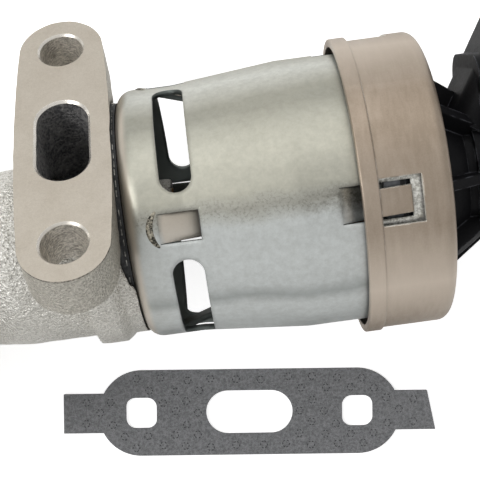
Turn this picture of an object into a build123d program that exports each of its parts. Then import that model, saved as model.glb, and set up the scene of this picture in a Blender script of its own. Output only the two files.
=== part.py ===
from build123d import *
import math
import os

# An exhaust gas recirculation valve and the loose gasket of its outlet flange. Millimetres.
# The valve is built upright: its axis is Z, zero is the underside of the solenoid can, and the
# outlet flange faces +X. At the end it is laid on its side with its axis along +X.

# Clearances
slip = 0.1                       # radial clearance of pieces that are pushed together
running_clearance = 0.06         # radial clearance of the sliding stem, armature and plunger
free_gap = 0.3                   # gap between pieces of different bodies that face each other

# Outlet flange and its bolts
bolt_spacing = 50.0
bolt_hole = 8.7
hole_chamfer = 0.45
port_length = 20.0
port_width = 10.0
flange_middle_width = 18.6
flange_end_radius = 8.5
flange_thickness = 10.5
flange_height = 24.0             # face of the outlet flange above the valve's axis
flange_station = -9.9            # middle of the outlet flange along the axis
flange_offset = -0.9             # shift of the bolt line off the valve's axis

# Casting
lie_angle = 37.9                 # from the outlet flange's normal to straight up, lying down
head_radius = 25.4
head_thickness = 7.0
rim_width = 1.9
rim_height = 2.2
rim_stop = 15.0
rim_taper = 77.0                 # slope of the rim's ends, from square
flank_radius = 18.2
flank_side = 5.4                 # sideways shift of the casting's barrel off the axis
flank_drop = 2.0
flank_end = -24.5
throat_radius = 16.6
chamber_radius = 9.5
chamber_top = -6.0
chamber_depth = 12.0
boss_radius = 6.5
boss_height = 8.7
pillar_width = 31.0
pillar_depth = 17.0
pillar_corner = 5.6
inlet_face = -47.5
inlet_thickness = 8.0
inlet_width = 60.0
inlet_height = 40.0
inlet_corner = 9.0
inlet_bore = 20.0
inlet_bore_depth = 9.0
inlet_bolt_spacing = 44.0

# Seat, stem and bushing
seat_height = 3.5
seat_wall = 2.5
seat_mouth = 0.8
stem_radius = 2.4
stem_tip_radius = 2.0
bushing_wall = 2.1
shield_radius = 7.6
shield_sheet = 0.7
shield_depth = 3.2
pintle_head_height = 4.0
pintle_nose = 4.5
pintle_travel = 4.5

# Gasket between casting and can
gasket_thickness = 2.5
gasket_core_sheet = 0.4
gasket_inset = 0.4

# Solenoid can
can_sheet = 1.1
can_low_radius = 25.3
can_high_radius = 27.3
can_corner = 3.4
can_length = 57.0
can_turn = 2.4                   # turn of the can and all it carries on the casting
flare_start = 11.5
flare_end = 32.5
can_pilot = 7.0
window_station = 10.7
window_width = 6.0
window_span = 61.0
low_lance_width = 5.4
low_lance_hinge = 6.4
low_lance_length = 7.6
low_lance_dip = 2.4
high_lance_width = 6.6
high_lance_drop = 16.9           # hinge of the upper tabs below the can's open end
high_lance_length = 8.3
high_lance_dip = 3.0
high_lance_opening = 13.0
lance_slit = 0.15
screw_circle = 16.5
screw_radius = 2.4
screw_head_radius = 4.0
screw_head_height = 3.0
screw_grip = 6.0
screw_angles = (70, 180, 290)

# Solenoid
plate_thickness = 3.0
spigot_height = 2.6
sleeve_bore = 10.0
sleeve_wall = 0.8
bobbin_wall = 1.2
bobbin_flange = 1.6
bobbin_radius = 21.5
winding_inset = 1.2
armature_pocket_depth = 6.2
armature_end_gap = 0.6
hub_length = 8.5
spring_pocket_radius = 5.2
spring_pocket_depth = 7.2
return_spring_radius = 4.35
return_spring_wire = 0.9
return_spring_turns = 5
nut_radius = 3.5
nut_height = 2.4
stem_end_above_nut = 1.0
lead_radius = 0.8
lead_circle = 15.0
lead_spacing_angle = 40.0
lead_rise = 6.0

# Steel cap over the can's open end
cap_radius = 29.6
cap_sheet = 1.0
cap_length = 16.9
cap_lip = 0.5
cap_lip_length = 3.2
cap_shoulder = 2.2
cap_hole_radius = 22.6
cap_overlap = 13.2               # length of the can that the cap covers
tongue_hinge = 3.3
tongue_length = 6.0
tongue_width = 5.1
tongue_slit = 1.85
tongue_dip = 1.4

# Sensor housing. A rise or drop is a height from the can's open end.
seal_thickness = 0.9
seal_width = 2.4
collar_rise = 0.8
tower_radius = 12.5
tower_rise = 26.5
gusset_base_radius = 21.0
gusset_rise = 16.2
gusset_thickness = 2.0
gusset_count = 8
cone_base_radius = 16.5
cone_rise = 10.0
ring_radius = 13.7
ring_rise = 11.7
ring_height = 5.0
block_rise = 13.8                # block that the connector's shroud grows from
block_height = 9.0
block_reach = 23.5
block_width = 26.0
block_corner = 6.0
cavity_radius = 9.0
cavity_drop = 2.0
cover_radius = 10.2
cover_thickness = 3.0
cover_dome = 0.8

# Connector shroud, leaning from the tower
connector_angle = -45.0
connector_lean = 31.0
connector_rise = 10.1
shroud_reach = 35.0
shroud_depth = 18.0
shroud_width = 23.0
shroud_height = 15.0
shroud_wall = 1.8
shroud_corner = 4.5
latch_length = 7.0
latch_width = 6.0
latch_rise = 1.8
pin_size = 1.0
pin_pitch = 3.2
pin_count = 5
pin_start = 9.8
pin_reach = 25.0

# Position sensor
plunger_radius = 1.6
plunger_head_radius = 5.0
plunger_head_rise = 2.5
plunger_head_height = 4.0
plunger_nub_radius = 2.6
plunger_nub_height = 2.0
sensor_spring_radius = 3.4
sensor_spring_wire = 0.6
sensor_spring_turns = 6
board_width = 7.0
board_thickness = 1.0
board_inset = 1.1
board_drop = 1.0
board_length = 21.0
wiper_width = 3.0
wiper_sheet = 0.4

# Loose flange gasket beside the valve
loose_gasket_thickness = 1.2
loose_gasket_width = 19.7
loose_gasket_length = 85.9
loose_gasket_tab = 9.0
loose_gasket_skew = 1.8          # slant of the right tab's end
loose_gasket_hole = 7.1
loose_gasket_hole_corner = 2.2
loose_gasket_yaw = -7.0
loose_gasket_station = 17.8
loose_gasket_aside = 47.7

# Stations along the axis and radii that follow from the values above
gasket_seat = -gasket_thickness
seat_top = chamber_top - chamber_depth
seat_bottom = seat_top - seat_height
seat_radius = chamber_radius - slip
seat_bore = seat_radius - seat_wall
bushing_radius = stem_radius + running_clearance + bushing_wall
can_low_bore = can_low_radius - can_sheet
can_high_bore = can_high_radius - can_sheet
low_plate_bottom = low_lance_hinge + low_lance_length
low_plate_top = low_plate_bottom + plate_thickness
high_lance_hinge = can_length - high_lance_drop
high_plate_bottom = high_lance_hinge + high_lance_length
high_plate_top = high_plate_bottom + plate_thickness
hub_bottom = high_plate_bottom - hub_length
armature_bottom = low_plate_top + spigot_height + armature_end_gap
armature_top = hub_bottom - armature_end_gap - pintle_travel
armature_recess = armature_top - armature_pocket_depth
armature_radius = sleeve_bore - running_clearance
hub_radius = sleeve_bore - slip
stem_top = armature_recess + nut_height + stem_end_above_nut
spring_top = hub_bottom + spring_pocket_depth
seal_top = high_plate_top + seal_thickness
cap_station = can_length - cap_overlap
cap_top = cap_station + cap_length
cap_underside = cap_top - cap_sheet
collar_top = cap_top + collar_rise
tower_top = can_length + tower_rise
gusset_top = can_length + gusset_rise
cone_top = can_length + cone_rise
cavity_floor = can_length - cavity_drop
connector_station = can_length + connector_rise
board_start = can_length - board_drop
cover_seat = tower_top - cover_thickness
plunger_bottom = stem_top + free_gap
plunger_head_station = can_length + plunger_head_rise
plunger_head_top = plunger_head_station + plunger_head_height
axis_height = cap_radius + cap_lip
inlet_drop = axis_height - inlet_height / 2

level = Rot(0, 0, lie_angle)     # turns a shape made with up along X to stand upright lying down
on_base = (Align.CENTER, Align.CENTER, Align.MIN)
above_flange = (Align.MIN, Align.CENTER, Align.CENTER)
lance_angles = [45 + 90 * turn for turn in range(4)]


def disc(radius, bottom, top, bore=0.0):
    """A round plate or tube on the axis, between two stations."""
    solid = Pos(0, 0, bottom) * Cylinder(radius, top - bottom, align=on_base)
    if bore:
        solid -= Pos(0, 0, bottom) * Cylinder(bore, top - bottom, align=on_base)
    return solid


def turned(points):
    """A solid of revolution from a closed outline of radius and station."""
    outline = Plane.XZ * make_face(Polyline(*points, close=True))
    return revolve(outline, Axis.Z)


def radial_plate(points, width):
    """A flat plate standing on the axis plane, from an outline of radius and station."""
    outline = Plane.XZ * make_face(Polyline(*points, close=True))
    return extrude(outline, width / 2, both=True)


def radial_hole(radius, station, inner, outer):
    """A round bar square to the axis, pointing along +X."""
    start = Plane(origin=(inner, 0, station), z_dir=(1, 0, 0)).location
    return start * Cylinder(radius, outer - inner, align=on_base)


def flange_plane(height):
    """Sketch plane of the outlet flange: x along the valve's axis, y along the bolt line."""
    return Plane(origin=(height, flange_offset, flange_station), x_dir=(0, 0, 1), z_dir=(1, 0, 0))


def flange_outline():
    """The outlet flange: two round ears joined by long, slightly bowed sides."""
    ear, middle, reach = flange_end_radius, flange_middle_width / 2, bolt_spacing / 2
    bow_radius = (reach**2 + middle**2 - ear**2) / (2 * (middle - ear))
    towards_ear = (Vector(0, reach) - Vector(middle - bow_radius, 0)).normalized()
    touch_x, touch_y = ear * towards_ear.X, reach + ear * towards_ear.Y
    edges = []
    for side in (1, -1):
        edge_x, edge_y = side * touch_x, side * touch_y
        edges.append(ThreePointArc((edge_x, -touch_y), (side * middle, 0), (edge_x, touch_y)))
        edges.append(ThreePointArc((-touch_x, edge_y), (0, side * (reach + ear)), (touch_x, edge_y)))
    return make_face(edges)


def outlet_flange():
    return extrude(flange_plane(flange_height - flange_thickness) * flange_outline(), flange_thickness)


def inlet_centre(station):
    return Pos(-inlet_drop, flank_side, station)


def casting_outside():
    """Barrel, throat, inlet flange, head, outlet flange and its pillar as one lump."""
    flank_centre = Pos(-flank_drop, flank_side, flank_end)
    barrel = level * flank_centre * Cylinder(flank_radius, gasket_seat - flank_end, align=on_base)
    throat_end = inlet_face + inlet_thickness / 2
    throat_ends = [flank_centre * Circle(flank_radius), inlet_centre(throat_end) * Circle(throat_radius)]
    throat = level * loft(throat_ends)
    inlet_plate = RectangleRounded(inlet_height, inlet_width, inlet_corner)
    inlet = level * inlet_centre(inlet_face) * extrude(inlet_plate, inlet_thickness)
    head = disc(head_radius, gasket_seat - head_thickness, gasket_seat)
    pillar_sketch = flange_plane(0) * RectangleRounded(pillar_depth, pillar_width, pillar_corner)
    pillar = extrude(pillar_sketch, flange_height - flange_thickness / 2)
    return barrel + throat + inlet + head + pillar + outlet_flange()


def gas_passages():
    """Chamber, outlet port, seat pocket and the slanting inlet passage."""
    port = extrude(flange_plane(0) * Rot(0, 0, 90) * SlotOverall(port_length, port_width), flange_height)
    bore_end = inlet_face + inlet_bore_depth
    bore = level * inlet_centre(inlet_face) * Cylinder(inlet_bore / 2, inlet_bore_depth, align=on_base)
    slant = loft([Pos(0, 0, seat_bottom) * Circle(seat_bore + seat_mouth),
                  level * inlet_centre(bore_end) * Circle(inlet_bore / 2)])
    return disc(chamber_radius, seat_bottom, chamber_top) + port + bore + slant


def flange_bolt_holes():
    """Through holes with a chamfer at the face."""
    hole = Cylinder(bolt_hole / 2, flange_thickness, align=on_base)
    chamfer = Cone(bolt_hole / 2, bolt_hole / 2 + hole_chamfer, hole_chamfer, align=on_base)
    hole += Pos(0, 0, flange_thickness - hole_chamfer) * chamfer
    base = flange_plane(flange_height - flange_thickness).location
    return [base * Pos(0, side * bolt_spacing / 2, 0) * hole for side in (1, -1)]


def inlet_bolt_holes():
    hole = Cylinder(bolt_hole / 2, inlet_thickness, align=on_base)
    base = level * inlet_centre(inlet_face)
    return [base * Pos(0, side * inlet_bolt_spacing / 2, 0) * hole for side in (1, -1)]


def at_screws(shape):
    """Copies of a shape on the axis, one at each of the can's screws."""
    return [Rot(0, 0, angle) * Pos(screw_circle, 0, 0) * shape for angle in screw_angles]


def valve_body():
    pocket_radius = head_radius - rim_width
    body = casting_outside() - disc(head_radius * 2, gasket_seat, can_length)
    above_face = Box(flange_height, 3 * bolt_spacing, 3 * bolt_spacing, align=above_flange)
    body -= Pos(flange_height, 0, 0) * above_face
    rim = disc(head_radius, gasket_seat, gasket_seat + rim_height, pocket_radius)
    rim_cut = Box(head_radius, 3 * head_radius, 3 * head_radius, align=above_flange)
    rim -= Pos(rim_stop, 0, gasket_seat) * Rot(0, -rim_taper, 0) * rim_cut
    body += outlet_flange() - disc(pocket_radius, gasket_seat, can_length)
    body += rim + disc(boss_radius, gasket_seat, boss_height)
    body -= gas_passages()
    body -= disc(bushing_radius, chamber_top, boss_height)
    for hole in flange_bolt_holes() + inlet_bolt_holes():
        body -= hole
    for hole in at_screws(disc(screw_radius, gasket_seat - screw_grip, gasket_seat)):
        body -= Rot(0, 0, can_turn) * hole
    return body


def valve_seat():
    ring = disc(seat_radius, seat_bottom, seat_top, seat_bore)
    mouth = Cone(seat_bore, seat_bore + seat_mouth, seat_mouth, align=on_base)
    return ring - Pos(0, 0, seat_top - seat_mouth) * mouth


def pintle():
    """Stem with a needle nose that closes the seat, and a thinner end for the armature's nut."""
    closed_radius = seat_bore + seat_mouth / 2
    seat_line = seat_top - seat_mouth / 2 + free_gap
    head_top = seat_line + pintle_head_height
    return turned([(0, seat_line - pintle_nose), (stem_radius, seat_line - pintle_nose),
                   (seat_bore - 3 * free_gap, seat_line - 3 * free_gap),
                   (closed_radius, seat_line), (closed_radius, seat_line + pintle_head_height / 3),
                   (stem_radius, head_top), (stem_radius, armature_bottom),
                   (stem_tip_radius, armature_bottom), (stem_tip_radius, stem_top), (0, stem_top)])


def stem_bushing():
    return disc(bushing_radius - slip, chamber_top, boss_height, stem_radius + running_clearance)


def deposit_shield():
    """A pressed cup under the bushing that keeps soot off the stem."""
    plate = disc(shield_radius, chamber_top - shield_sheet, chamber_top, bushing_radius)
    skirt = disc(shield_radius, chamber_top - shield_depth, chamber_top, shield_radius - shield_sheet)
    return plate + skirt


def gasket_layer(bottom, top):
    layer = disc(head_radius - rim_width - gasket_inset, bottom, top, boss_radius + slip)
    for hole in at_screws(disc(screw_radius + slip, bottom, top)):
        layer -= hole
    return layer


def gasket_split():
    return (gasket_thickness - gasket_core_sheet) / 2


def body_gasket():
    return Compound(children=[gasket_layer(gasket_seat, gasket_seat + gasket_split()),
                              gasket_layer(-gasket_split(), 0)])


def gasket_core():
    return gasket_layer(gasket_seat + gasket_split(), -gasket_split())


def can_form(inset):
    """The can's form, drawn in by a sheet thickness for its inside."""
    low, high, corner = can_low_radius - inset, can_high_radius - inset, can_corner - inset
    top = can_length + inset
    bottom_edge = Line((0, inset), (low - corner, inset))
    bend = RadiusArc((low - corner, inset), (low, inset + corner), -corner)
    wall = Polyline((low, inset + corner), (low, flare_start), (high, flare_end), (high, top),
                    (0, top), (0, inset))
    return revolve(Plane.XZ * make_face([bottom_edge, bend, wall]), Axis.Z)


def window():
    """A cooling window round the can, with round ends."""
    end_angle = math.degrees(math.asin(window_width / 2 / can_low_radius))
    sweep_angle = window_span - 2 * end_angle
    inner, outer = can_low_radius / 2, can_high_radius + can_sheet
    band = Plane.XZ * Pos((inner + outer) / 2, window_station) * Rectangle(outer - inner, window_width)
    opening = Rot(0, 0, -sweep_angle / 2) * revolve(band, Axis.Z, sweep_angle)
    end = radial_hole(window_width / 2, window_station, inner, outer)
    for side in (1, -1):
        opening += Rot(0, 0, side * sweep_angle / 2) * end
    return opening


def lance(wall_radius, sheet, hinge, length, dip, width):
    """A flat tongue bent inwards from its hinge in a round wall, with its edges inside the wall there."""
    flat = math.sqrt(wall_radius**2 - (width / 2) ** 2) - slip
    outline = [(flat, hinge - sheet), (flat, hinge), (flat - dip, hinge + length),
               (flat - dip - sheet, hinge + length), (flat - sheet, hinge), (flat - sheet, hinge - sheet)]
    return radial_plate(outline, width)


def lance_opening(wall_radius, start, length, width):
    return Pos(wall_radius, 0, start + length / 2) * Box(wall_radius, width, length)


def solenoid_can():
    can = can_form(0) - can_form(can_sheet) - disc(can_pilot, 0, can_sheet)
    low_slot = lance_opening(can_low_radius, low_lance_hinge, low_lance_length + lance_slit,
                             low_lance_width + 2 * lance_slit)
    high_slot = lance_opening(can_high_radius, high_lance_hinge, high_lance_opening,
                              high_lance_width + 2 * lance_slit)
    low_tab = lance(can_low_radius, can_sheet, low_lance_hinge, low_lance_length, low_lance_dip,
                    low_lance_width)
    high_tab = lance(can_high_radius, can_sheet, high_lance_hinge, high_lance_length, high_lance_dip,
                     high_lance_width)
    for angle in lance_angles:
        can -= Rot(0, 0, angle) * low_slot
        can -= Rot(0, 0, angle) * high_slot
        can -= Rot(0, 0, angle - 45) * window()
    for angle in lance_angles:
        can += Rot(0, 0, angle) * low_tab
        can += Rot(0, 0, angle) * high_tab
    for hole in at_screws(disc(screw_radius + slip, 0, can_sheet)):
        can -= hole
    return can


def can_screws():
    shank = disc(screw_radius - slip, gasket_seat - screw_grip + free_gap, can_sheet)
    head = Pos(0, 0, can_sheet) * extrude(RegularPolygon(screw_head_radius, 6), screw_head_height)
    return Compound(children=at_screws(shank + head))


def lower_pole():
    """Plate on the can's lower tabs, with a spigot that centres the sleeve."""
    plate = disc(can_low_bore - free_gap, low_plate_bottom, low_plate_top)
    spigot = disc(hub_radius, low_plate_top, low_plate_top + spigot_height)
    return plate + spigot - disc(stem_radius + free_gap, low_plate_bottom, low_plate_top + spigot_height)


def pole_sleeve():
    return disc(sleeve_bore + sleeve_wall, low_plate_top, high_plate_bottom, sleeve_bore)


def bobbin_bore():
    return sleeve_bore + sleeve_wall + slip


def bobbin():
    core_radius = bobbin_bore() + bobbin_wall
    spool = disc(core_radius, low_plate_top, high_plate_bottom)
    spool += disc(bobbin_radius, low_plate_top, low_plate_top + bobbin_flange)
    spool += disc(bobbin_radius, high_plate_bottom - bobbin_flange, high_plate_bottom)
    return spool - disc(bobbin_bore(), low_plate_top, high_plate_bottom)


def coil_winding():
    bottom, top = low_plate_top + bobbin_flange, high_plate_bottom - bobbin_flange
    return disc(bobbin_radius - winding_inset, bottom, top, bobbin_bore() + bobbin_wall)


def lead_spots():
    """Where the coil's two leads rise, across the valve from the connector."""
    across = connector_angle + 180
    angles = [across + side * lead_spacing_angle / 2 for side in (1, -1)]
    return [Rot(0, 0, angle) * Pos(lead_circle, 0, 0) for angle in angles]


def coil_leads():
    lead = disc(lead_radius, high_plate_bottom, high_plate_bottom + lead_rise)
    return Compound(children=[spot * lead for spot in lead_spots()])


def upper_pole():
    """Plate on the can's upper tabs, with a hub that pulls the armature up."""
    pole = disc(can_high_bore - slip, high_plate_bottom, high_plate_top)
    pole += disc(hub_radius, hub_bottom, high_plate_bottom)
    pole -= disc(spring_pocket_radius, hub_bottom, spring_top)
    pole -= disc(plunger_radius + free_gap, spring_top, high_plate_top)
    for spot in lead_spots():
        pole -= spot * disc(lead_radius + slip, high_plate_bottom, high_plate_top)
    return pole


def armature():
    slug = disc(armature_radius, armature_bottom, armature_top, stem_tip_radius + slip / 2)
    return slug - disc(spring_pocket_radius, armature_recess, armature_top)


def armature_nut():
    nut = Pos(0, 0, armature_recess) * extrude(RegularPolygon(nut_radius, 6), nut_height)
    return nut - disc(stem_tip_radius + slip / 2, armature_recess, armature_recess + nut_height)


def coil_spring(mean_radius, wire, turns, bottom, top):
    """A round-wire helix with open ends, held between two stations."""
    low, high = bottom + wire / 2 + slip, top - wire / 2 - slip
    path = Pos(0, 0, low) * Helix((high - low) / turns, high - low, mean_radius)
    section = Plane(origin=path @ 0, z_dir=path % 0) * RegularPolygon(wire / 2, 6)
    return sweep(section, path, is_frenet=True)


def return_spring():
    return coil_spring(return_spring_radius, return_spring_wire, return_spring_turns,
                       armature_recess, spring_top)


def sensor_spring():
    return coil_spring(sensor_spring_radius, sensor_spring_wire, sensor_spring_turns,
                       plunger_head_top, cover_seat)


def outer_cap():
    """Deep-drawn cap with a rolled lip and four hooked tongues."""
    skirt = fillet(disc(cap_radius, cap_station, cap_top).edges().group_by(Axis.Z)[-1], cap_shoulder)
    hollow = disc(cap_radius - cap_sheet, cap_station, cap_underside)
    hollow = fillet(hollow.edges().group_by(Axis.Z)[-1], cap_shoulder - cap_sheet)
    lip = fillet(disc(cap_radius + cap_lip, cap_station, cap_station + cap_lip_length).edges(), cap_lip / 2)
    cap = skirt + lip - hollow - disc(cap_hole_radius, cap_underside, cap_top)
    hinge = cap_station + tongue_hinge
    slot = lance_opening(cap_radius, hinge, tongue_length + tongue_slit, tongue_width + 2 * tongue_slit)
    tongue = lance(cap_radius, cap_sheet, hinge, tongue_length, tongue_dip, tongue_width)
    for angle in lance_angles:
        cap -= Rot(0, 0, angle) * slot
    for angle in lance_angles:
        cap += Rot(0, 0, angle) * tongue
    return cap


def housing_seal():
    outer = can_high_bore - slip
    return disc(outer, high_plate_top, seal_top, outer - seal_width)


def connector_plane(along):
    """Plane square to the connector's centre line, this far from the valve's axis."""
    turn, lean = math.radians(connector_angle), math.radians(connector_lean)
    ahead = Vector(math.cos(turn) * math.cos(lean), math.sin(turn) * math.cos(lean), math.sin(lean))
    across = Vector(-math.sin(turn), math.cos(turn), 0)
    return Plane(origin=Vector(0, 0, connector_station) + ahead * along, x_dir=across, z_dir=ahead)


def shroud():
    """The connector's moulded socket with its latch nose, still solid inside."""
    start = cavity_radius
    outline = RectangleRounded(shroud_width, shroud_height, shroud_corner)
    box = extrude(connector_plane(start) * outline, shroud_reach - start)
    nose = Pos(0, shroud_height / 2, -latch_length / 2) * Box(latch_width, 2 * latch_rise, latch_length)
    return box + connector_plane(shroud_reach - latch_rise).location * nose


def connector_block():
    """Flat-sided block on the tower, drawn out towards the connector."""
    middle = (block_reach - ring_radius) / 2
    outline = Pos(middle, 0) * RectangleRounded(block_reach + ring_radius, block_width, block_corner)
    return Rot(0, 0, connector_angle) * Pos(0, 0, can_length + block_rise) * extrude(outline, block_height)


def gussets():
    """Ribs that brace the tower on the housing's collar."""
    outline = [(cavity_radius, cap_underside), (gusset_base_radius, cap_underside),
               (gusset_base_radius, collar_top), (tower_radius, gusset_top), (cavity_radius, gusset_top)]
    plate = radial_plate(outline, gusset_thickness)
    step = 360 / gusset_count
    return [Rot(0, 0, connector_angle + step * turn) * plate for turn in range(gusset_count)]


def pin_bar(size):
    bar = connector_plane(pin_start) * Rectangle(size, size)
    pitch_line = connector_plane(0).x_dir * pin_pitch
    middle = (pin_count - 1) / 2
    bar = extrude(bar, pin_reach - pin_start)
    return [Location(pitch_line * (turn - middle)) * bar for turn in range(pin_count)]


def sensor_housing():
    base_radius = can_high_bore - slip
    housing = disc(base_radius, seal_top, cap_underside)
    housing += disc(cap_hole_radius - slip, cap_underside, collar_top)
    cone = Cone(cone_base_radius, tower_radius, cone_top - collar_top, align=on_base)
    housing += Pos(0, 0, collar_top) * cone
    housing += disc(tower_radius, collar_top, tower_top)
    housing += disc(ring_radius, can_length + ring_rise, can_length + ring_rise + ring_height)
    housing += connector_block()
    housing += shroud()
    for plate in gussets():
        housing += plate
    socket = RectangleRounded(shroud_width - 2 * shroud_wall, shroud_height - 2 * shroud_wall,
                              shroud_corner - shroud_wall)
    housing -= extrude(connector_plane(shroud_reach - shroud_depth) * socket, shroud_depth)
    housing -= disc(cavity_radius, cavity_floor, cover_seat)
    housing -= disc(cover_radius, cover_seat, tower_top)
    housing -= disc(plunger_radius + free_gap, seal_top, cavity_floor)
    for bar in pin_bar(pin_size + slip):
        housing -= bar
    for spot in lead_spots():
        housing -= spot * disc(lead_radius + slip, seal_top, high_plate_bottom + lead_rise)
    return housing


def connector_pins():
    return Compound(children=pin_bar(pin_size))


def sensor_cover():
    plug = disc(cover_radius - slip, cover_seat, tower_top)
    dome = Cone(cover_radius - slip, cover_radius - 3 * cover_dome, cover_dome, align=on_base)
    return plug + Pos(0, 0, tower_top) * dome


def sensor_plunger():
    rod = disc(plunger_radius, plunger_bottom, plunger_head_station)
    head = disc(plunger_head_radius, plunger_head_station, plunger_head_top)
    return rod + head + disc(plunger_nub_radius, plunger_head_top, plunger_head_top + plunger_nub_height)


def board_face():
    return cavity_radius - board_inset - board_thickness


def sensor_board():
    middle = board_start + board_length / 2
    board = Pos(board_face(), 0, middle) * Box(board_thickness, board_width, board_length, align=above_flange)
    return Rot(0, 0, connector_angle) * board


def sensor_wiper():
    reach = board_face() - free_gap
    middle = plunger_head_station + plunger_head_height / 2
    leaf = radial_plate([(plunger_head_radius, middle), (reach, middle + wiper_sheet),
                         (reach, middle + 2 * wiper_sheet), (plunger_head_radius, middle + wiper_sheet)],
                        wiper_width)
    leaf -= disc(plunger_head_radius, plunger_head_station, plunger_head_top)
    return Rot(0, 0, connector_angle) * leaf


def loose_gasket():
    """Sheet gasket with two tabs; the right tab's end is cut on the slant."""
    end, edge = loose_gasket_length / 2, loose_gasket_tab / 2
    tabs = Polyline((-end, -edge), (end, -edge), (end - loose_gasket_skew, edge), (-end, edge), close=True)
    sheet = make_face(tabs) + SlotOverall(bolt_spacing + loose_gasket_width, loose_gasket_width)
    sheet -= SlotOverall(port_length, port_width)
    hole = RectangleRounded(loose_gasket_hole, loose_gasket_hole, loose_gasket_hole_corner)
    for side in (1, -1):
        sheet -= Pos(side * bolt_spacing / 2, 0) * hole
    return extrude(sheet, loose_gasket_thickness)


solenoid_pieces = {
    "valve_seat": valve_seat(),
    "pintle": pintle(),
    "stem_bushing": stem_bushing(),
    "deposit_shield": deposit_shield(),
    "body_gasket": body_gasket(),
    "gasket_core": gasket_core(),
    "solenoid_can": solenoid_can(),
    "can_screws": can_screws(),
    "lower_pole": lower_pole(),
    "pole_sleeve": pole_sleeve(),
    "bobbin": bobbin(),
    "coil_winding": coil_winding(),
    "coil_leads": coil_leads(),
    "upper_pole": upper_pole(),
    "armature": armature(),
    "armature_nut": armature_nut(),
    "return_spring": return_spring(),
    "outer_cap": outer_cap(),
    "housing_seal": housing_seal(),
    "sensor_housing": sensor_housing(),
    "connector_pins": connector_pins(),
    "sensor_cover": sensor_cover(),
    "sensor_plunger": sensor_plunger(),
    "sensor_wiper": sensor_wiper(),
    "sensor_board": sensor_board(),
    "sensor_spring": sensor_spring(),
}


def placed(piece, place):
    """The piece's solids moved to their place, as one flat group."""
    return Compound([place * solid for solid in piece.solids()])


# Laid down, the valve's axis runs along +X above the table, on its cap's lip and inlet flange.
lie = math.radians(lie_angle)
flange_way = (0, math.sin(lie), math.cos(lie))
laid_down = Plane(origin=(0, 0, axis_height), x_dir=flange_way, z_dir=(1, 0, 0)).location
beside_valve = Pos(loose_gasket_station, -loose_gasket_aside, 0) * Rot(0, 0, loose_gasket_yaw)
laid_and_turned = laid_down * Rot(0, 0, can_turn)
laid_pieces = {"valve_body": placed(valve_body(), laid_down)}
laid_pieces.update({name: placed(piece, laid_and_turned) for name, piece in solenoid_pieces.items()})
laid_pieces["flange_gasket"] = placed(loose_gasket(), beside_valve)

# The origin is the middle of the set's footprint, on the table.
footprint = Compound(list(laid_pieces.values())).bounding_box()
origin_shift = Pos(-footprint.center().X, -footprint.center().Y, 0)
nodes = {name: placed(piece, origin_shift) for name, piece in laid_pieces.items()}

os.makedirs("parts", exist_ok=True)
for name, piece in nodes.items():
    export_step(piece, f"parts/{name}.step")
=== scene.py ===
import math
import random
import bmesh
import bpy
from mathutils import Matrix, Vector, noise


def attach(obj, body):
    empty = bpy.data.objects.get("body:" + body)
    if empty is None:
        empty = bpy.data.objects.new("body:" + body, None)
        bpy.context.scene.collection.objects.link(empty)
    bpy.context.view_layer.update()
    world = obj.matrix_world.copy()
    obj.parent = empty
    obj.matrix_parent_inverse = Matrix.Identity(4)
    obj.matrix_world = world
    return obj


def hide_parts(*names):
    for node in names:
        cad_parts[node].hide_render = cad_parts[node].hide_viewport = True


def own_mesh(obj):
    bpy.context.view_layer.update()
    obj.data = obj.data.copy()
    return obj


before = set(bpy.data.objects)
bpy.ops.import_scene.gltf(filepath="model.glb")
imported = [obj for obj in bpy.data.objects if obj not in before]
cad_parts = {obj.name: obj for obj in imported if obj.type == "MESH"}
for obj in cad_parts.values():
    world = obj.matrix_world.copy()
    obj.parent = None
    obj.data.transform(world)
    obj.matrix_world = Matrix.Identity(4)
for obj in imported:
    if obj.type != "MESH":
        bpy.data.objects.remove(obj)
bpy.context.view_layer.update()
print("frame loaded:", len(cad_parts), "nodes")

# The valve's axis runs along X; the outlet flange looks up and to the +Y side.
layout = {
    "axis": Vector((0.0, 0.0093547, 0.0301)),
    "canBottom": -0.0223355,
    "flangeAngle": math.radians(37.9),
    "flangeHeight": 0.024,
    "flangeMiddle": -0.0322355,
    "boltLineShift": 0.0009,
    "boltSpacing": 0.050,
    "inletFace": -0.0698355,
    "gasketFace": -0.0248355,
}
axisLine = Vector((1, 0, 0))
flangeNormal = Vector((0, math.sin(layout["flangeAngle"]), math.cos(layout["flangeAngle"])))
boltLine = Vector((0, -math.cos(layout["flangeAngle"]), math.sin(layout["flangeAngle"])))
flangeFoot = layout["axis"] - boltLine * layout["boltLineShift"] + axisLine * layout["flangeMiddle"]
flangeCentre = flangeFoot + flangeNormal * layout["flangeHeight"]


def startGroup(name, inputs, outputs):
    group = bpy.data.node_groups.new(name, "ShaderNodeTree")
    for label, kind, value in inputs:
        kind = "NodeSocket" + kind
        socket = group.interface.new_socket(name=label, in_out="INPUT", socket_type=kind)
        if value is not None:
            socket.default_value = value
    for label, kind in outputs:
        group.interface.new_socket(name=label, in_out="OUTPUT", socket_type="NodeSocket" + kind)
    return group, group.nodes.new("NodeGroupInput"), group.nodes.new("NodeGroupOutput")


# Links a socket, or sets it where the value is a plain one.
def feed(tree, socket, value):
    if isinstance(value, bpy.types.NodeSocket):
        tree.links.new(value, socket)
    else:
        socket.default_value = value


def mixColours(tree, factor, first, second):
    mix = tree.nodes.new("ShaderNodeMix")
    mix.data_type = "RGBA"
    for number, value in ((0, factor), (6, first), (7, second)):
        feed(tree, mix.inputs[number], value)
    return mix.outputs[2]


def mathNode(tree, operation, first, second=0.0):
    node = tree.nodes.new("ShaderNodeMath")
    node.operation = operation
    feed(tree, node.inputs[0], first)
    feed(tree, node.inputs[1], second)
    return node.outputs[0]


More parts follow.
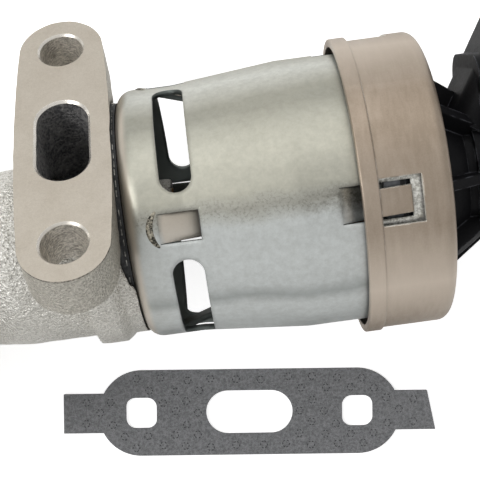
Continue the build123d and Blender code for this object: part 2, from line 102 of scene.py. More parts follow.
def vectorNode(tree, operation, first, second=None):
    node = tree.nodes.new("ShaderNodeVectorMath")
    node.operation = operation
    feed(tree, node.inputs[0], first)
    if second is not None:
        feed(tree, node.inputs[1], second)
    return node.outputs["Value" if operation in ("DOT_PRODUCT", "LENGTH") else "Vector"]


def rangeNode(tree, value, fromLow, fromHigh, toLow=0.0, toHigh=1.0):
    node = tree.nodes.new("ShaderNodeMapRange")
    labels = ("Value", "From Min", "From Max", "To Min", "To Max")
    for label, setting in zip(labels, (value, fromLow, fromHigh, toLow, toHigh)):
        feed(tree, node.inputs[label], setting)
    return node.outputs["Result"]


def noiseNode(tree, vector, scale, detail, roughness):
    node = tree.nodes.new("ShaderNodeTexNoise")
    labels = ("Vector", "Scale", "Detail", "Roughness")
    for label, value in zip(labels, (vector, scale, detail, roughness)):
        feed(tree, node.inputs[label], value)
    return node.outputs["Fac"]


# Noise spread between two of its values. A look is scale, detail, roughness, first, last value.
def speckleNode(tree, vector, look, least=0.0, most=1.0):
    scale, detail, roughness, first, last = look
    grain = noiseNode(tree, vector, scale, detail, roughness)
    return rangeNode(tree, grain, first, last, least, most)


def trueNormal(tree):
    return tree.nodes.new("ShaderNodeNewGeometry").outputs["True Normal"]


skinDetail = {"patch": 4.0, "streak": 3.0, "grain": 2.0, "roughness": 0.6, "toneSpan": 0.2,
              "bumpStrength": 0.3, "bumpDepth": 0.0001, "bevelSamples": 4}


# Two-tone patches, stretched drawing marks, fine grain and blast pits, shared by every finish.
def buildSkinGroup():
    group, start, end = startGroup(
        "surfaceSkin",
        [("Vector", "Vector", None),
         ("Light", "Color", (0.7, 0.7, 0.7, 1)), ("Dark", "Color", (0.5, 0.5, 0.5, 1)),
         ("Patch Scale", "Float", 60.0), ("Patch Share", "Float", 1.0),
         ("Streak Stretch", "Vector", (1, 1, 1)),
         ("Streak Scale", "Float", 900.0), ("Streak Share", "Float", 0.3),
         ("Grain Scale", "Float", 2500.0), ("Grain Share", "Float", 0.3),
         ("Pit Scale", "Float", 1400.0), ("Pit Share", "Float", 0.0),
         ("Tint Share", "Float", 1.0), ("Smoothest", "Float", 0.25), ("Roughest", "Float", 0.45)],
        [("Color", "Color"), ("Roughness", "Float"), ("Height", "Float")])
    given = start.outputs
    stretched = vectorNode(group, "MULTIPLY", given["Vector"], given["Streak Stretch"])
    layers = [
        noiseNode(group, given["Vector"], given["Patch Scale"], skinDetail["patch"],
                  skinDetail["roughness"]),
        noiseNode(group, stretched, given["Streak Scale"], skinDetail["streak"],
                  skinDetail["roughness"]),
        noiseNode(group, given["Vector"], given["Grain Scale"], skinDetail["grain"],
                  skinDetail["roughness"]),
    ]
    pits = group.nodes.new("ShaderNodeTexVoronoi")
    feed(group, pits.inputs["Vector"], given["Vector"])
    feed(group, pits.inputs["Scale"], given["Pit Scale"])
    layers.append(pits.outputs["Distance"])
    shares = [given[kind + " Share"] for kind in ("Patch", "Streak", "Grain", "Pit")]
    patch, streak, grain, pit = [
        mathNode(group, "MULTIPLY", mathNode(group, "SUBTRACT", layer, 0.5), share)
        for layer, share in zip(layers, shares)]
    marks = mathNode(group, "ADD", mathNode(group, "ADD", streak, grain), pit)
    tinting = mathNode(group, "MULTIPLY", marks, given["Tint Share"])
    toned = mathNode(group, "ADD", patch, tinting)
    tone = rangeNode(group, toned, -skinDetail["toneSpan"], skinDetail["toneSpan"])
    roughness = rangeNode(group, tone, 0.0, 1.0, given["Roughest"], given["Smoothest"])
    feed(group, end.inputs["Color"], mixColours(group, tone, given["Dark"], given["Light"]))
    feed(group, end.inputs["Roughness"], roughness)
    feed(group, end.inputs["Height"], marks)
    return group


skinGroup = buildSkinGroup()


# A colour as a colour picker writes it, made linear.
def rgb(red, green, blue):
    values = [channel / 255 for channel in (red, green, blue)]
    linear = [v / 12.92 if v <= 0.04045 else ((v + 0.055) / 1.055) ** 2.4 for v in values]
    return (*linear, 1.0)


def objectPlace(tree):
    return tree.nodes["Texture Coordinate"].outputs["Object"]


# The colour that a material has so far.
def colourSoFar(tree):
    return tree.nodes["Principled BSDF"].inputs["Base Color"].links[0].from_socket


def setColour(tree, colour):
    tree.links.new(colour, tree.nodes["Principled BSDF"].inputs["Base Color"])


edgeWearAndHighlight = {"turned": (0.93, 0.8), "broken": (420.0, 2.0, 0.5, 0.42, 0.6)}


# Light lines where an edge turns, broken up by noise: partly rubbed edge wear, partly a painted
# edge highlight.
def wearAndHighlightEdges(tree, roundedNormal, tone):
    turned = vectorNode(tree, "DOT_PRODUCT", roundedNormal, trueNormal(tree))
    edge = rangeNode(tree, turned, *edgeWearAndHighlight["turned"])
    broken = speckleNode(tree, objectPlace(tree), edgeWearAndHighlight["broken"])
    wornAndHighlit = mathNode(tree, "MULTIPLY", edge, broken)
    setColour(tree, mixColours(tree, wornAndHighlit, colourSoFar(tree), tone))


def skinMaterial(name, look):
    material = bpy.data.materials.new(name)
    material.use_nodes = True
    tree = material.node_tree
    shader = tree.nodes["Principled BSDF"]
    tree.nodes.new("ShaderNodeTexCoord")
    skin = tree.nodes.new("ShaderNodeGroup")
    skin.node_tree = skinGroup
    tree.links.new(objectPlace(tree), skin.inputs["Vector"])
    for label, value in look["skin"].items():
        skin.inputs[label].default_value = value
    setColour(tree, skin.outputs["Color"])
    tree.links.new(skin.outputs["Roughness"], shader.inputs["Roughness"])
    bump = tree.nodes.new("ShaderNodeBump")
    bump.inputs["Strength"].default_value = look.get("bumpStrength", skinDetail["bumpStrength"])
    bump.inputs["Distance"].default_value = look.get("bumpDepth", skinDetail["bumpDepth"])
    tree.links.new(skin.outputs["Height"], bump.inputs["Height"])
    if "edgeRadius" in look:
        rounded = tree.nodes.new("ShaderNodeBevel")
        rounded.samples = skinDetail["bevelSamples"]
        rounded.inputs["Radius"].default_value = look["edgeRadius"]
        tree.links.new(rounded.outputs["Normal"], bump.inputs["Normal"])
        if "wornAndHighlitEdge" in look:
            wearAndHighlightEdges(tree, rounded.outputs["Normal"], look["wornAndHighlitEdge"])
    tree.links.new(bump.outputs["Normal"], shader.inputs["Normal"])
    for label, value in look.get("shader", {}).items():
        shader.inputs[label].default_value = value
    return material


finishes = {
    "cast_aluminium": {
        "skin": {"Light": rgb(232, 229, 221), "Dark": rgb(178, 175, 167), "Patch Scale": 60.0,
                 "Patch Share": 0.2, "Streak Scale": 1300.0, "Streak Share": 0.4,
                 "Grain Scale": 2600.0, "Grain Share": 0.8, "Pit Scale": 2100.0, "Pit Share": 0.8,
                 "Tint Share": 0.5, "Smoothest": 0.26, "Roughest": 0.44},
        "bumpStrength": 1.0, "bumpDepth": 0.00045, "edgeRadius": 0.0005,
        "shader": {"Metallic": 0.75}},
    "seat_steel": {
        "skin": {"Light": rgb(180, 178, 172), "Dark": rgb(140, 138, 132),
                 "Streak Stretch": (8, 1, 1)},
        "shader": {"Metallic": 1.0}},
    "stem_steel": {
        "skin": {"Light": rgb(205, 204, 200), "Dark": rgb(170, 168, 164),
                 "Streak Stretch": (8, 1, 1)},
        "shader": {"Metallic": 1.0}},
    "bushing_bronze": {
        "skin": {"Light": rgb(190, 150, 90), "Dark": rgb(150, 110, 60)},
        "shader": {"Metallic": 1.0}},
    "bright_steel": {
        "skin": {"Light": rgb(215, 215, 212), "Dark": rgb(180, 180, 176)},
        "shader": {"Metallic": 1.0}},
    "graphite_black": {
        "skin": {"Light": rgb(44, 45, 46), "Dark": rgb(22, 23, 24), "Grain Share": 0.9,
                 "Smoothest": 0.5, "Roughest": 0.8},
        "bumpStrength": 0.6, "bumpDepth": 0.0002},
    "zinc_plate": {
        "skin": {"Light": rgb(196, 198, 192), "Dark": rgb(178, 178, 168), "Patch Scale": 45.0,
                 "Streak Stretch": (0.15, 1, 1), "Streak Scale": 420.0, "Streak Share": 0.35,
                 "Grain Scale": 3000.0, "Grain Share": 0.3, "Smoothest": 0.32, "Roughest": 0.46},
        "bumpStrength": 0.3, "bumpDepth": 0.0001, "edgeRadius": 0.0014,
        "shader": {"Metallic": 0.8}},
    "zinc_screw": {
        "skin": {"Light": rgb(206, 204, 180), "Dark": rgb(176, 170, 140)},
        "shader": {"Metallic": 1.0}},
    "pole_iron": {
        "skin": {"Light": rgb(120, 122, 124), "Dark": rgb(84, 86, 88), "Smoothest": 0.35,
                 "Roughest": 0.55},
        "shader": {"Metallic": 1.0}},
    "sleeve_brass": {
        "skin": {"Light": rgb(206, 176, 104), "Dark": rgb(170, 140, 74)},
        "shader": {"Metallic": 1.0}},
    "bobbin_nylon": {
        "skin": {"Light": rgb(104, 110, 108), "Dark": rgb(76, 82, 80), "Smoothest": 0.4,
                 "Roughest": 0.55}},
    "copper_wire": {
        "skin": {"Light": rgb(196, 116, 72), "Dark": rgb(140, 76, 44),
                 "Streak Stretch": (1, 0.05, 0.05), "Streak Scale": 2400.0, "Streak Share": 1.4},
        "bumpStrength": 0.8, "bumpDepth": 0.0003, "shader": {"Metallic": 1.0}},
    "spring_steel": {
        "skin": {"Light": rgb(150, 152, 154), "Dark": rgb(112, 114, 116)},
        "shader": {"Metallic": 1.0}},
    "nickel_plate": {
        "skin": {"Light": rgb(172, 158, 143), "Dark": rgb(147, 133, 117), "Patch Scale": 40.0,
                 "Streak Stretch": (1, 0.2, 0.2), "Streak Scale": 900.0, "Streak Share": 0.4,
                 "Grain Scale": 3500.0, "Grain Share": 0.25, "Smoothest": 0.36, "Roughest": 0.48},
        "bumpStrength": 0.3, "bumpDepth": 0.0001, "edgeRadius": 0.0004,
        # light edge lines: rubbed wear and a painted edge highlight
        "wornAndHighlitEdge": rgb(232, 228, 218),
        "shader": {"Metallic": 0.8}},
    "black_rubber": {
        "skin": {"Light": rgb(34, 34, 34), "Dark": rgb(20, 20, 20), "Smoothest": 0.55,
                 "Roughest": 0.75}},
    "black_plastic": {
        "skin": {"Light": rgb(25, 25, 27), "Dark": rgb(15, 15, 17), "Grain Scale": 1800.0,
                 "Grain Share": 0.4, "Smoothest": 0.4, "Roughest": 0.52},
        "bumpStrength": 0.25, "bumpDepth": 0.00012, "edgeRadius": 0.0005,
        # light edge lines: rubbed wear and a painted edge highlight
        "wornAndHighlitEdge": rgb(118, 120, 126),
        "shader": {"Specular IOR Level": 0.1}},
    "tinned_brass": {
        "skin": {"Light": rgb(220, 218, 210), "Dark": rgb(190, 186, 176)},
        "shader": {"Metallic": 1.0}},
    "resin_board": {
        "skin": {"Light": rgb(62, 98, 70), "Dark": rgb(44, 78, 54), "Smoothest": 0.3,
                 "Roughest": 0.45}},
    "graphite_sheet": {
        "skin": {"Light": rgb(141, 142, 144), "Dark": rgb(99, 100, 102), "Patch Scale": 700.0,
                 "Patch Share": 0.3, "Streak Scale": 1900.0, "Streak Share": 0.7,
                 "Grain Scale": 4200.0, "Grain Share": 0.9, "Pit Scale": 1300.0, "Pit Share": 0.25,
                 "Smoothest": 0.5, "Roughest": 0.7},
        "bumpStrength": 0.8, "bumpDepth": 0.00025},
}
materials = {slot: skinMaterial(slot, look) for slot, look in finishes.items()}
milledFace = skinMaterial("milledFace", {
    "skin": {"Light": rgb(198, 190, 177), "Dark": rgb(184, 175, 161), "Patch Scale": 160.0,
             "Patch Share": 0.6, "Streak Scale": 1500.0, "Streak Share": 0.4, "Grain Scale": 4200.0,
             "Grain Share": 0.6, "Smoothest": 0.42, "Roughest": 0.56},
    "bumpStrength": 0.3, "bumpDepth": 0.0001, "shader": {"Metallic": 0.5}})
# The wall under the flange's ears: a darker copy of the cast skin, painted shade.
shadedEarWall = skinMaterial("shadedEarWall", {
    "skin": {"Light": rgb(214, 209, 198), "Dark": rgb(150, 146, 136), "Patch Scale": 60.0,
             "Patch Share": 0.2, "Streak Scale": 1300.0, "Streak Share": 0.4, "Grain Scale": 2400.0,
             "Grain Share": 0.9, "Pit Scale": 2300.0, "Pit Share": 0.7, "Tint Share": 0.5,
             "Smoothest": 0.3, "Roughest": 0.48},
    "bumpStrength": 1.0, "bumpDepth": 0.00045, "edgeRadius": 0.0005, "shader": {"Metallic": 0.75}})
milledEdge = skinMaterial("milledEdge", {
    "skin": {"Light": rgb(232, 228, 220), "Dark": rgb(206, 200, 190), "Smoothest": 0.22,
             "Roughest": 0.34},
    "edgeRadius": 0.0002, "shader": {"Metallic": 0.85}})
burredEdge = skinMaterial("burredEdge", {
    "skin": {"Light": rgb(176, 170, 158), "Dark": rgb(70, 66, 58), "Patch Scale": 600.0,
             "Patch Share": 0.8, "Grain Scale": 2400.0, "Grain Share": 1.0, "Smoothest": 0.4,
             "Roughest": 0.6},
    "shader": {"Metallic": 0.6}})
sootedBore = skinMaterial("sootedBore", {
    "skin": {"Light": rgb(150, 148, 146), "Dark": rgb(78, 78, 80), "Patch Scale": 260.0,
             "Patch Share": 0.7, "Streak Scale": 900.0, "Streak Share": 0.6, "Grain Scale": 2600.0,
             "Grain Share": 0.8, "Pit Share": 0.4, "Smoothest": 0.38, "Roughest": 0.7},
    "bumpStrength": 1.0, "bumpDepth": 0.0006})
drilledBore = skinMaterial("drilledBore", {
    "skin": {"Light": rgb(234, 228, 217), "Dark": rgb(158, 152, 143), "Patch Scale": 300.0,
             "Patch Share": 0.5, "Streak Stretch": (1, 1, 3), "Streak Scale": 1200.0,
             "Streak Share": 1.2, "Grain Scale": 2800.0, "Grain Share": 0.6, "Smoothest": 0.35,
             "Roughest": 0.55},
    "bumpStrength": 0.8, "bumpDepth": 0.0004, "shader": {"Metallic": 0.7}})
# Darkened zinc of the tab folds: painted shade of the fold.
foldShadeZinc = skinMaterial("foldShadeZinc", {
    "skin": {"Light": rgb(170, 164, 148), "Dark": rgb(46, 45, 40), "Patch Scale": 500.0,
             "Patch Share": 1.2, "Grain Scale": 2000.0, "Grain Share": 1.2, "Smoothest": 0.35,
             "Roughest": 0.55},
    "bumpStrength": 1.0, "bumpDepth": 0.0003, "shader": {"Metallic": 0.8}})
dullSteel = skinMaterial("dullSteel", {
    "skin": {"Light": rgb(176, 174, 168), "Dark": rgb(60, 60, 58), "Patch Scale": 700.0,
             "Patch Share": 1.2},
    "shader": {"Metallic": 0.8}})
sootedCore = skinMaterial("sootedCore", {
    "skin": {"Light": rgb(74, 74, 74), "Dark": rgb(32, 32, 33), "Patch Scale": 500.0},
    "shader": {"Metallic": 0.6}})
clinchedSheet = skinMaterial("clinchedSheet", {
    "skin": {"Light": rgb(58, 58, 60), "Dark": rgb(34, 34, 36), "Smoothest": 0.5, "Roughest": 0.7}})


# Where round the valve a point lies: its angle from straight up, its distance from the axis and
# how far its surface faces away from the axis.
def buildRoundGroup():
    group, start, end = startGroup(
        "roundTheAxis", [("Vector", "Vector", None)],
        [("Along", "Float"), ("Angle", "Float"), ("Radius", "Float"), ("Facing", "Float")])
    fromAxis = vectorNode(group, "SUBTRACT", start.outputs["Vector"], layout["axis"])
    flat = vectorNode(group, "MULTIPLY", fromAxis, (0, 1, 1))
    outward = vectorNode(group, "NORMALIZE", flat)
    split = group.nodes.new("ShaderNodeSeparateXYZ")
    feed(group, split.inputs[0], fromAxis)
    turn = mathNode(group, "ARCTAN2", split.outputs["Y"], split.outputs["Z"])
    feed(group, end.inputs["Along"], split.outputs["X"])
    feed(group, end.inputs["Angle"], mathNode(group, "DEGREES", turn))
    feed(group, end.inputs["Radius"], vectorNode(group, "LENGTH", flat))
    feed(group, end.inputs["Facing"], vectorNode(group, "DOT_PRODUCT", outward, trueNormal(group)))
    return group


roundGroup = buildRoundGroup()


def roundPlace(tree):
    place = tree.nodes.new("ShaderNodeGroup")
    place.node_tree = roundGroup
    tree.links.new(objectPlace(tree), place.inputs["Vector"])
    return place.outputs


# A share that is full at a middle angle, out to an inner one, and gone at an outer one.
def aroundAngle(tree, angle, middle, outer, share=1.0, inner=0.0):
    away = mathNode(tree, "ABSOLUTE", mathNode(tree, "SUBTRACT", angle, middle))
    return rangeNode(tree, away, outer, inner, 0.0, share)


# A ramp between two stations, counted from the can's floor.
def alongCan(tree, place, stations, least=0.0, most=1.0):
    first, last = (layout["canBottom"] + station for station in stations)
    return rangeNode(tree, place["Along"], first, last, least, most)


# Angles are in degrees round the can; speckles are looks for speckleNode.
canPaintedLightAndWear = {
    # the plating's painted reflection tint: cool on one side of the can, warm on the other
    "coolReflectedTint": rgb(204, 208, 207),
    "warmReflectedTint": rgb(181, 179, 165),
    "warmReflectionSide": (-13.0, 1.0),
    "paintedReflectionShare": 0.85,
    "ripple": (55.0, 3.0, 0.6, 0.0, 1.0),
    "rippleTurn": (-6.0, 6.0),
    # each painted reflection band, some dark and some light: middle and half width, tone, share
    "reflectionBands": [(-5.0, 7.5, rgb(136, 133, 122), 0.7), (-46.0, 6.0, rgb(150, 155, 154), 0.75),
                (-65.0, 12.0, rgb(172, 177, 176), 0.6), (33.0, 16.0, rgb(156, 155, 143), 0.55),
                (60.0, 17.0, rgb(230, 231, 223), 1.0)],
    # painted shade where the floor rolls into the wall
    "corner": (0.008, 0.003),
    "cornerShare": 0.2,
    "cornerTone": rgb(148, 148, 138),
    "mottle": (700.0, 5.0, 0.75, 0.36, 0.64),
    "mottleShare": 0.22,
    "mottleTone": rgb(120, 119, 110),
    # dark speckle painted into the dark reflection band
    "reflectionSpecks": (1900.0, 2.0, 0.7, 0.5, 0.66),
    "reflectionSpecksAround": {"middle": -6.0, "outer": 8.0, "inner": 2.0},
    "reflectionSpeckShare": 0.34,
    "reflectionSpeckTone": rgb(84, 80, 70),
    # darker blotches towards the notch
    "notchwardDark": (0.031, 0.045),
    "notchwardDarkAround": {"middle": -7.0, "outer": 10.0, "share": 0.8},
    "notchwardBlotch": (1300.0, 3.0, 0.7, 0.4, 0.62),
    "notchwardTone": rgb(84, 80, 72),
    # the straight wall that tabs and notches are pressed in from: stations and radii
    "wall": (0.0115, 0.0325),
    "wallRadii": (0.0253, 0.0273),
    "notchesFrom": (0.025, 0.026),
    "startDepths": (0.0001, 0.0009),
    "fullDepths": (0.0005, 0.0024),
    "pressedShare": 0.8,
    "tabTint": rgb(204, 194, 180),
    # painted shade in the deep notches
    "notchShadeTint": rgb(72, 68, 60),
    "underCap": (0.0452, 0.0456),
    "hatch": (1500.0, 2.0, 0.7, 0.4, 0.6),
    "rubbedDark": rgb(176, 174, 167),
    "rubbedLight": rgb(232, 231, 225),
    "hiddenFacing": (0.55, 0.15),
    "aboveBend": (0.0036, 0.0042),
    "insideShade": rgb(112, 118, 115),
}


# Painted reflections on the plating: a cool and a warm tint and light and dark reflection bands
# round the can, painted shade at the rolled rim of the floor, and random mottling.
def paintCanReflectionsAndShade(tree, place, angle, colour):
    warm = rangeNode(tree, angle, *canPaintedLightAndWear["warmReflectionSide"])
    reflectionTone = mixColours(tree, warm, canPaintedLightAndWear["coolReflectedTint"], canPaintedLightAndWear["warmReflectedTint"])
    for middle, halfWidth, tone, share in canPaintedLightAndWear["reflectionBands"]:
        reflectionTone = mixColours(tree, aroundAngle(tree, angle, middle, halfWidth, share), reflectionTone, tone)
    colour = mixColours(tree, canPaintedLightAndWear["paintedReflectionShare"], colour, reflectionTone)
    corner = alongCan(tree, place, canPaintedLightAndWear["corner"], 0.0, canPaintedLightAndWear["cornerShare"])
    colour = mixColours(tree, corner, colour, canPaintedLightAndWear["cornerTone"])
    mottle = speckleNode(tree, objectPlace(tree), canPaintedLightAndWear["mottle"], 0.0, canPaintedLightAndWear["mottleShare"])
    return mixColours(tree, mottle, colour, canPaintedLightAndWear["mottleTone"])


# Dark speckle painted into the dark reflection band, and darker blotches where the band nears the
# notch.
def bandSpecksAndNotchwardDark(tree, place, angle, colour):
    reflectionSpecks = speckleNode(tree, objectPlace(tree), canPaintedLightAndWear["reflectionSpecks"])
    reflectionSpecks = mathNode(tree, "MULTIPLY", reflectionSpecks, aroundAngle(tree, angle, **canPaintedLightAndWear["reflectionSpecksAround"]))
    reflectionSpecks = mathNode(tree, "MULTIPLY", reflectionSpecks, canPaintedLightAndWear["reflectionSpeckShare"])
    colour = mixColours(tree, reflectionSpecks, colour, canPaintedLightAndWear["reflectionSpeckTone"])
    notchwardDark = mathNode(tree, "MULTIPLY", aroundAngle(tree, angle, **canPaintedLightAndWear["notchwardDarkAround"]),
                     alongCan(tree, place, canPaintedLightAndWear["notchwardDark"]))
    blotch = speckleNode(tree, objectPlace(tree), canPaintedLightAndWear["notchwardBlotch"])
    return mixColours(tree, mathNode(tree, "MULTIPLY", notchwardDark, blotch), colour, canPaintedLightAndWear["notchwardTone"])


# Warm-toned tabs, and painted shade in the notches, wherever the sheet lies deeper than the wall
# round it.
def tintTabsShadeNotches(tree, place, colour):
    wall = alongCan(tree, place, canPaintedLightAndWear["wall"], *canPaintedLightAndWear["wallRadii"])
    depth = mathNode(tree, "SUBTRACT", wall, place["Radius"])
    notch = alongCan(tree, place, canPaintedLightAndWear["notchesFrom"])
    tabTintNotchShade = mixColours(tree, notch, canPaintedLightAndWear["tabTint"], canPaintedLightAndWear["notchShadeTint"])
    startDepth = rangeNode(tree, notch, 0.0, 1.0, *canPaintedLightAndWear["startDepths"])
    fullDepth = rangeNode(tree, notch, 0.0, 1.0, *canPaintedLightAndWear["fullDepths"])
    pressed = rangeNode(tree, depth, startDepth, fullDepth)
    pressed = mathNode(tree, "MULTIPLY", pressed, canPaintedLightAndWear["pressedShare"])
    return mixColours(tree, pressed, colour, tabTintNotchShade)


# The can: painted reflections and shade on its plating, rubbed where the cap sits, and painted
# shade inside.
def paintCanLightAndWear(material):
    tree = material.node_tree
    place = roundPlace(tree)
    ripple = speckleNode(tree, objectPlace(tree), canPaintedLightAndWear["ripple"], *canPaintedLightAndWear["rippleTurn"])
    angle = mathNode(tree, "ADD", place["Angle"], ripple)
    colour = paintCanReflectionsAndShade(tree, place, angle, colourSoFar(tree))
    colour = bandSpecksAndNotchwardDark(tree, place, angle, colour)
    colour = tintTabsShadeNotches(tree, place, colour)
    hatch = speckleNode(tree, objectPlace(tree), canPaintedLightAndWear["hatch"])
    rubbed = mixColours(tree, hatch, canPaintedLightAndWear["rubbedDark"], canPaintedLightAndWear["rubbedLight"])
    colour = mixColours(tree, alongCan(tree, place, canPaintedLightAndWear["underCap"]), colour, rubbed)
    hidden = mathNode(tree, "MULTIPLY", rangeNode(tree, place["Facing"], *canPaintedLightAndWear["hiddenFacing"]),
                      alongCan(tree, place, canPaintedLightAndWear["aboveBend"]))
    setColour(tree, mixColours(tree, hidden, colour, canPaintedLightAndWear["insideShade"]))


capPaintedLightAndEdges = {
    # painted highlight bands along the cap
    "paintedSheens": [(60.0, 28.0), (-44.0, 24.0)],  # middle and half width in degrees
    "paintedSheenShare": 0.75,
    "paintedSheenTone": rgb(222, 209, 194),
    "skirtStart": (0.0445, 0.0446),
    "skirtEnd": (0.0578, 0.0577),
    "shearedFacing": (0.6, 0.3),
    "cutSteel": rgb(226, 223, 214),
    "insideFacing": (-0.6, -0.8),
    "insideShade": rgb(96, 90, 82),
}


# The cap: two painted highlight bands along it, bright sheared edges at its slots and painted shade
# inside.
def paintCapLightAndEdges(material):
    tree = material.node_tree
    place = roundPlace(tree)
    colour = colourSoFar(tree)
    for middle, halfWidth in capPaintedLightAndEdges["paintedSheens"]:
        paintedSheen = aroundAngle(tree, place["Angle"], middle, halfWidth, capPaintedLightAndEdges["paintedSheenShare"])
        colour = mixColours(tree, paintedSheen, colour, capPaintedLightAndEdges["paintedSheenTone"])
    sideways = mathNode(tree, "ABSOLUTE", place["Facing"])
    onSkirt = mathNode(tree, "MULTIPLY", alongCan(tree, place, capPaintedLightAndEdges["skirtStart"]),
                       alongCan(tree, place, capPaintedLightAndEdges["skirtEnd"]))
    sheared = rangeNode(tree, sideways, *capPaintedLightAndEdges["shearedFacing"])
    sheared = mathNode(tree, "MULTIPLY", sheared, onSkirt)
    colour = mixColours(tree, sheared, colour, capPaintedLightAndEdges["cutSteel"])
    inside = rangeNode(tree, place["Facing"], *capPaintedLightAndEdges["insideFacing"])
    setColour(tree, mixColours(tree, inside, colour, capPaintedLightAndEdges["insideShade"]))


barrelPaintedLight = {
    # painted light and glinting at the barrel's far end
    "alongX": (-0.040, -0.0475),
    "acrossY": (-0.009, 0.001),
    "lowSideShare": 0.3,
    "paintedGlints": (1300.0, 2.0, 0.6, 0.44, 0.6),
    "leastGlint": 0.25,
    "paintedGlintTone": rgb(254, 252, 246),
}


# The barrel's far end: painted light, fainter on its lower side, with painted coarse glinting on
# the blasted skin.
def paintBarrelLight(material):
    tree = material.node_tree
    apart = tree.nodes.new("ShaderNodeSeparateXYZ")
    tree.links.new(objectPlace(tree), apart.inputs[0])
    endward = rangeNode(tree, apart.outputs["X"], *barrelPaintedLight["alongX"])
    sideward = rangeNode(tree, apart.outputs["Y"], *barrelPaintedLight["acrossY"],
                         barrelPaintedLight["lowSideShare"])
    bright = mathNode(tree, "MULTIPLY", endward, sideward)
    paintedGlints = speckleNode(tree, objectPlace(tree), barrelPaintedLight["paintedGlints"], barrelPaintedLight["leastGlint"])
    share = mathNode(tree, "MULTIPLY", bright, paintedGlints)
    setColour(tree, mixColours(tree, share, colourSoFar(tree), barrelPaintedLight["paintedGlintTone"]))


paintBarrelLight(materials["cast_aluminium"])
paintCanLightAndWear(materials["zinc_plate"])
paintCapLightAndEdges(materials["nickel_plate"])
print("materials ready:", len(materials))

slotOfNode = {
    "valve_body": "cast_aluminium", "valve_seat": "seat_steel", "pintle": "stem_steel",
    "stem_bushing": "bushing_bronze", "deposit_shield": "bright_steel",
    "body_gasket": "graphite_black", "gasket_core": "bright_steel", "solenoid_can": "zinc_plate",
    "can_screws": "zinc_screw", "lower_pole": "pole_iron", "pole_sleeve": "sleeve_brass",
    "bobbin": "bobbin_nylon", "coil_winding": "copper_wire", "coil_leads": "copper_wire",
    "upper_pole": "pole_iron", "armature": "pole_iron", "armature_nut": "zinc_screw",
    "return_spring": "spring_steel", "outer_cap": "nickel_plate", "housing_seal": "black_rubber",
    "sensor_housing": "black_plastic", "connector_pins": "tinned_brass",
    "sensor_cover": "black_plastic", "sensor_plunger": "bobbin_nylon",
    "sensor_wiper": "sleeve_brass", "sensor_board": "resin_board", "sensor_spring": "spring_steel",
    "flange_gasket": "graphite_sheet",
}
for name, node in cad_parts.items():
    node.data.materials.clear()
    node.data.materials.append(materials[slotOfNode[name]])
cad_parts["gasket_core"].data.materials[0] = sootedCore
print("nodes painted")


def shapeOf(mesh):
    shape = bmesh.new()
    shape.from_mesh(mesh)
    return shape


# A shape as a new mesh.
def meshOf(shape, name):
    mesh = bpy.data.meshes.new(name)
    shape.to_mesh(mesh)
    shape.free()
    return mesh


def placed(name, data):
    thing = bpy.data.objects.new(name, data)
    bpy.context.scene.collection.objects.link(thing)
    return thing


# A finished piece on the valve's body, with the CAD nodes that it replaces.
def addPiece(name, shape, slots, replaced=()):
    piece = placed(name, meshOf(shape, name))
    for material in slots:
        piece.data.materials.append(material)
    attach(piece, "valve")
    if replaced:
        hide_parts(*replaced)
    return piece


# Heights are from the valve's axis, towards the outlet flange.
casting = {
    "weld": 1e-6,
    "onFace": 1e-5,
    "lift": 0.0024,
    "voxel": 0.0006,
    "smoothRounds": 3,
    "waviness": 0.00007,
    "waveScale": 380.0,
    # the band round the gasket: rounds of smoothing, depth behind the seat, radius, height
    "rimRounds": 2, "rimDepth": 0.0011, "rimReach": 0.0285, "rimHeight": 0.0225,
    "boltRadius": 0.00435,
    "boltChamfer": 0.00045,
    "boltDepth": 0.0116,
    "portRadius": 0.005,
    "portHalfStraight": 0.005,
    "portChamfer": 0.0005,
    "portDepth": 0.012,
    "plugSides": 56,
    "plugRise": 0.001,
    "edgeBreak": 0.0004,
    "earDepth": 0.0103,
    "sharpAngle": 32,
    "lowerRim": {
        "from": -0.0274, "to": -0.0248,  # places along X where the rounding starts and is full
        "wide": 0.0256, "narrow": 0.0239, "curve": 1.5,
        "top": -0.0231, "inner": 0.0232, "rise": 0.0005,
        "fadeFrom": 0.001, "fadeTo": -0.004,  # along Y
        "earClear": 0.0118, "earFade": 0.003,
    },
    # where one finish ends and the next starts
    "areas": {
        "onFace": 2e-5, "milledFacing": 0.98,
        "chamferHeight": 0.0006, "chamferFacing": 0.5,
        "boltChamferEnd": 0.0052, "portChamferEnd": 0.012,
        "boltMargin": 0.0004, "boltFloor": 0.008,
        "portMargin": 0.0006, "portFloor": -0.004,
        "inletCentre": (0.0039547, 0.020), "inletRadius": 0.0104, "inletEnd": -0.045,
    },
}


def heightAbove(point):
    return (point - layout["axis"]).dot(flangeNormal)


def offAxis(point):
    return Vector((0, point[1] - layout["axis"].y, point[2] - layout["axis"].z))


# A mesh run through one modifier, as a new mesh.
def throughModifier(mesh, kind, settings):
    carrier = placed("carrier", mesh)
    modifier = carrier.modifiers.new(kind.lower(), kind)
    for label, value in settings.items():
        setattr(modifier, label, value)
    graph = bpy.context.evaluated_depsgraph_get()
    result = bpy.data.meshes.new_from_object(carrier.evaluated_get(graph))
    bpy.data.objects.remove(carrier)
    return result


# Cuts a closed plug, placed by a matrix, out of a mesh.
def cutOut(mesh, plug, place):
    plugMesh = meshOf(plug, "plug")
    plugMesh.transform(place)
    cutter = placed("cutter", plugMesh)
    settings = {"operation": "DIFFERENCE", "solver": "EXACT", "object": cutter}
    result = throughModifier(mesh, "BOOLEAN", settings)
    bpy.data.objects.remove(cutter)
    return result


